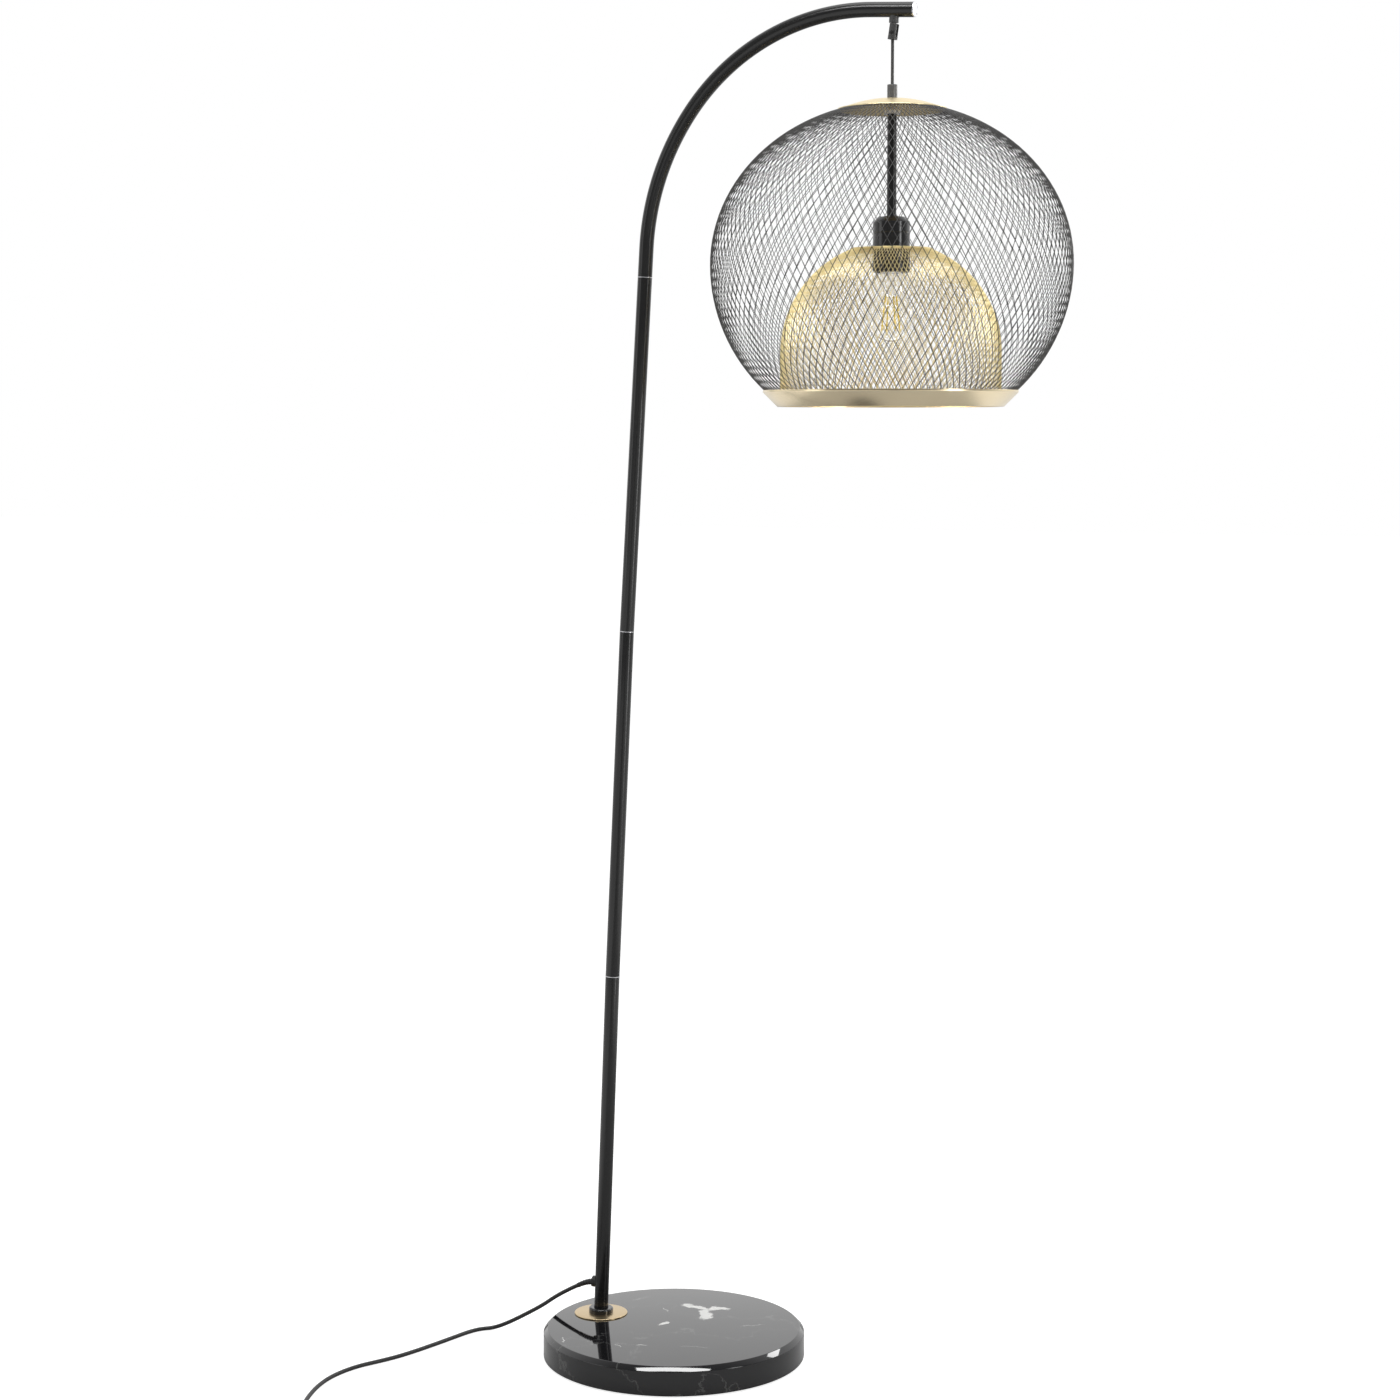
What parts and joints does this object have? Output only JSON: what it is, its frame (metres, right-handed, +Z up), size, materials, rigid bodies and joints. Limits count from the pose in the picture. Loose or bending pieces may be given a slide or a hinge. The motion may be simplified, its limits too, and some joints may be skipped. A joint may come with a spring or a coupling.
{
  "type": "wire cage floor lamp",
  "caption": "Floor lamp with a round black stone base, a slim black pole and bent arm, and a wire cage shade with a brass cap and ring hung over a gold mesh dome and clear bulb.",
  "frame": {"origin": "middle of the base's underside, on the floor", "axes": "+Z up, +X the way the arm reaches from the base"},
  "size_m": [0.8987, 0.7656, 1.7744],
  "materials": {
    "black_stone": "polished marble with a few pale veins",
    "felt": "pressed felt",
    "zinc_steel": "zinc plated",
    "satin_brass": "satin, pale gold",
    "polished_brass": "polished",
    "gold_mesh": "fine woven mesh",
    "black_paint": "satin black",
    "gloss_black": "gloss black",
    "black_wire": "painted wire mesh",
    "bright_cap": "turned",
    "cable_black": "soft black sheath",
    "black_plastic": "moulded",
    "matte_black_plastic": "moulded",
    "porcelain": "glazed",
    "bulb_shell": "drawn",
    "clear_glass": "clear",
    "filament": "yellow coated",
    "pin_brass": "bright"
  },
  "bodies": {
    "stand": {"base_slab": "black_stone", "base_pad": "felt", "foot_stud": "zinc_steel", "foot_washer": "zinc_steel", "foot_nut": "zinc_steel", "foot_flange": "satin_brass", "foot_plug": "zinc_steel", "pole_collar": "gloss_black", "pole_lower": "black_paint", "pole_middle": "black_paint", "pole_upper": "black_paint", "coupler_lower": "zinc_steel", "coupler_middle": "zinc_steel", "coupler_upper": "zinc_steel", "arm_tube": "black_paint", "arm_end_cap": "bright_cap", "hanger_neck": "black_paint", "pole_cable": "cable_black", "cord_grommet": "matte_black_plastic", "mains_cord": "cable_black", "switch_base": "black_plastic", "switch_cover": "black_plastic", "mains_coil": "cable_black", "plug_body": "matte_black_plastic", "plug_pins": "pin_brass"},
    "clip": {"swivel_clip": "black_paint", "clip_screws": "zinc_steel"},
    "cord": {"hang_cord": "cable_black"},
    "shade": {"cord_ferrule": "gloss_black", "shade_cap": "satin_brass", "cage_plate": "satin_brass", "cap_nut": "zinc_steel", "outer_cage": "black_wire", "bottom_ring": "polished_brass", "shade_stem": "black_paint", "stem_cable": "cable_black", "holder_cap": "matte_black_plastic", "holder_shell": "matte_black_plastic", "holder_ring": "matte_black_plastic", "holder_contacts": "porcelain", "holder_sleeve": "bulb_shell", "dome_plate": "satin_brass", "inner_dome": "gold_mesh"},
    "bulb": {"bulb_base": "bulb_shell", "bulb_glass": "clear_glass", "bulb_stem": "clear_glass", "bulb_filaments": "filament"},
    "button": {"switch_button": "matte_black_plastic"}
  },
  "joints": [
    {"name": "clip_swing", "type": "hinge", "parent": "stand", "child": "clip", "pos_m": [0.29539, 0.014, 1.73355], "axis": [0, 1, 0], "range_deg": [-15, 15]},
    {"name": "cord_swing", "type": "hinge", "parent": "clip", "child": "cord", "pos_m": [0.29457, 0.014, 1.72771], "axis": [1, 0, 0], "range_deg": [-15, 15]},
    {"name": "shade_turn", "type": "hinge", "parent": "cord", "child": "shade", "pos_m": [0.29457, 0.014, 1.66], "axis": [0, 0, 1], "range_deg": [-180, 180]},
    {"name": "bulb_unscrew", "type": "slide", "parent": "shade", "child": "bulb", "axis": [0, 0, -1], "range_m": [0, 0.027]},
    {"name": "button_press", "type": "slide", "parent": "stand", "child": "button", "axis": [0, 0, -1], "range_m": [0, 0.0025], "stiffness_N_per_m": 800}
  ]
}
